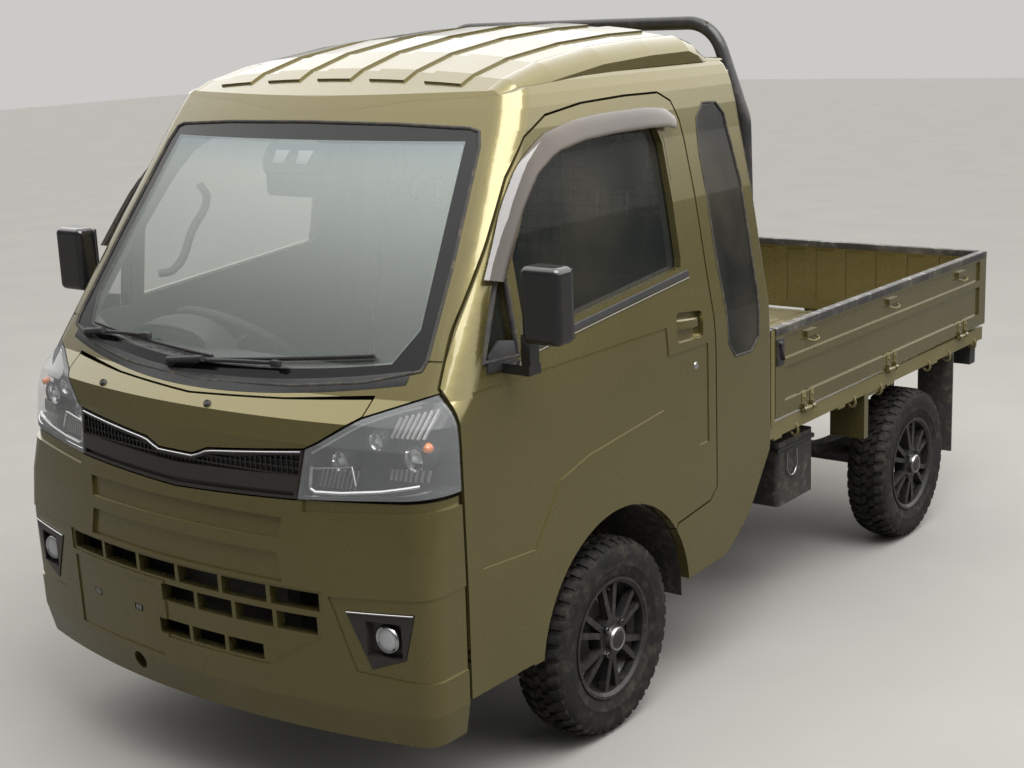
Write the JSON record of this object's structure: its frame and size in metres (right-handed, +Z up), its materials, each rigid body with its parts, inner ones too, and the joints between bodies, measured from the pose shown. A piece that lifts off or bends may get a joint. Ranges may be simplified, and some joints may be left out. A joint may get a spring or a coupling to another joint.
{
  "type": "kei truck",
  "caption": "Small cab-over four-wheel-drive pickup with a raised-roof cab, drop-side load bed, hinged gates, opening doors and steered front wheels.",
  "frame": {"origin": "on the ground under the middle of the vehicle", "axes": "+X is the vehicle's left, -Y its front, +Z up"},
  "size_m": [1.8, 3.3942, 1.862],
  "materials": {
    "body_paint": "metallic olive khaki with a clear coat",
    "bed_paint": "worn and scratched olive khaki",
    "black_steel": "satin black paint",
    "cast_metal": "rough casting",
    "radiator_metal": "finned core",
    "glass": "clear with a faint green tint",
    "dark_glass": "dark tinted",
    "lamp_lens": "clear lens",
    "lamp_housing": "bright plated and grey plastic",
    "tail_lens": "red lens",
    "smoked_plastic": "smoked gloss",
    "gloss_black": "gloss black",
    "dash_plastic": "moulded grain",
    "seat_fabric": "woven dark grey",
    "flap_rubber": "matt black sheet",
    "wheel_black": "satin black alloy",
    "tyre_rubber": "matt rubber"
  },
  "bodies": {
    "root": {"cab_shell": "body_paint", "roof_panel": "body_paint", "windscreen": "glass", "cab_windows": "dark_glass", "rear_window_guard": "black_steel", "front_bumper": "body_paint", "front_panel": "black_steel", "grille": "smoked_plastic", "headlamps": "lamp_housing", "headlamp_lenses": "lamp_lens", "fog_lamps": "smoked_plastic", "dashboard": "dash_plastic", "steering_column": "dash_plastic", "seat_left": "seat_fabric", "seat_right": "seat_fabric", "chassis_frame": "black_steel", "engine_block": "cast_metal", "radiator": "radiator_metal", "front_suspension": "black_steel", "rear_axle": "cast_metal", "leaf_springs": "black_steel", "fuel_tank": "black_steel", "battery_box": "black_steel", "cargo_bed": "bed_paint", "guard_hoop": "black_steel", "front_mudguards": "body_paint", "mud_flaps": "flap_rubber", "tail_lamps": "tail_lens"},
    "front_lid": {"front_lid": "body_paint"},
    "door_left": {"door_left": "body_paint", "door_glass_left": "dark_glass", "door_mirror_left": "gloss_black"},
    "door_right": {"door_right": "body_paint", "door_glass_right": "dark_glass", "door_mirror_right": "gloss_black"},
    "gate_left": {"gate_left": "body_paint"},
    "gate_right": {"gate_right": "body_paint"},
    "gate_tail": {"gate_tail": "body_paint"},
    "steering_wheel": {"steering_wheel": "dash_plastic"},
    "steering_rack": {"steering_rack": "black_steel"},
    "knuckle_left": {"knuckle_left": "cast_metal"},
    "knuckle_right": {"knuckle_right": "cast_metal"},
    "wheel_front_left": {"wheel_front_left": "wheel_black", "tyre_front_left": "tyre_rubber"},
    "wheel_front_right": {"wheel_front_right": "wheel_black", "tyre_front_right": "tyre_rubber"},
    "wheel_rear_left": {"wheel_rear_left": "wheel_black", "tyre_rear_left": "tyre_rubber"},
    "wheel_rear_right": {"wheel_rear_right": "wheel_black", "tyre_rear_right": "tyre_rubber"}
  },
  "joints": [
    {"name": "door_left_hinge", "type": "hinge", "parent": "root", "child": "door_left", "pos_m": [0.731, -1.447, 0.9], "axis": [0, 0, -1], "range_deg": [0, 65]},
    {"name": "door_right_hinge", "type": "hinge", "parent": "root", "child": "door_right", "pos_m": [-0.731, -1.447, 0.9], "axis": [0, 0, 1], "range_deg": [0, 65]},
    {"name": "front_lid_hinge", "type": "hinge", "parent": "root", "child": "front_lid", "pos_m": [0, -1.4875, 1.04], "axis": [-1, 0, 0], "range_deg": [0, 45]},
    {"name": "gate_left_hinge", "type": "hinge", "parent": "root", "child": "gate_left", "pos_m": [0.7265, 0.8, 0.66], "axis": [0, 1, 0], "range_deg": [0, 178]},
    {"name": "gate_right_hinge", "type": "hinge", "parent": "root", "child": "gate_right", "pos_m": [-0.7265, 0.8, 0.66], "axis": [0, -1, 0], "range_deg": [0, 178]},
    {"name": "gate_tail_hinge", "type": "hinge", "parent": "root", "child": "gate_tail", "pos_m": [0, 1.6885, 0.66], "axis": [-1, 0, 0], "range_deg": [0, 178]},
    {"name": "steering", "type": "hinge", "parent": "root", "child": "steering_wheel", "pos_m": [-0.36, -1.1025, 1.02], "axis": [0, 0.6157, 0.788], "range_deg": [-480, 480]},
    {"name": "rack_slide", "type": "slide", "parent": "root", "child": "steering_rack", "axis": [1, 0, 0], "range_m": [-0.0645, 0.0645]},
    {"name": "steer_left", "type": "hinge", "parent": "root", "child": "knuckle_left", "pos_m": [0.545, -0.8375, 0.2685], "axis": [0, 0, 1], "range_deg": [-32.1, 32.1]},
    {"name": "steer_right", "type": "hinge", "parent": "root", "child": "knuckle_right", "pos_m": [-0.545, -0.8375, 0.2685], "axis": [0, 0, 1], "range_deg": [-32.1, 32.1]},
    {"name": "wheel_front_left_spin", "type": "hinge", "parent": "knuckle_left", "child": "wheel_front_left", "pos_m": [0.65, -0.8375, 0.2685], "axis": [1, 0, 0], "continuous": true},
    {"name": "wheel_front_right_spin", "type": "hinge", "parent": "knuckle_right", "child": "wheel_front_right", "pos_m": [-0.65, -0.8375, 0.2685], "axis": [1, 0, 0], "continuous": true},
    {"name": "wheel_rear_left_spin", "type": "hinge", "parent": "root", "child": "wheel_rear_left", "pos_m": [0.65, 1.0625, 0.2685], "axis": [1, 0, 0], "continuous": true},
    {"name": "wheel_rear_right_spin", "type": "hinge", "parent": "root", "child": "wheel_rear_right", "pos_m": [-0.65, 1.0625, 0.2685], "axis": [1, 0, 0], "continuous": true}
  ],
  "couplings": [
    {"joint": "steer_left", "follows": "steering", "ratio": 0.066667},
    {"joint": "steer_right", "follows": "steering", "ratio": 0.066667},
    {"joint": "rack_slide", "follows": "steering", "m_per_rad": -0.0076667}
  ]
}
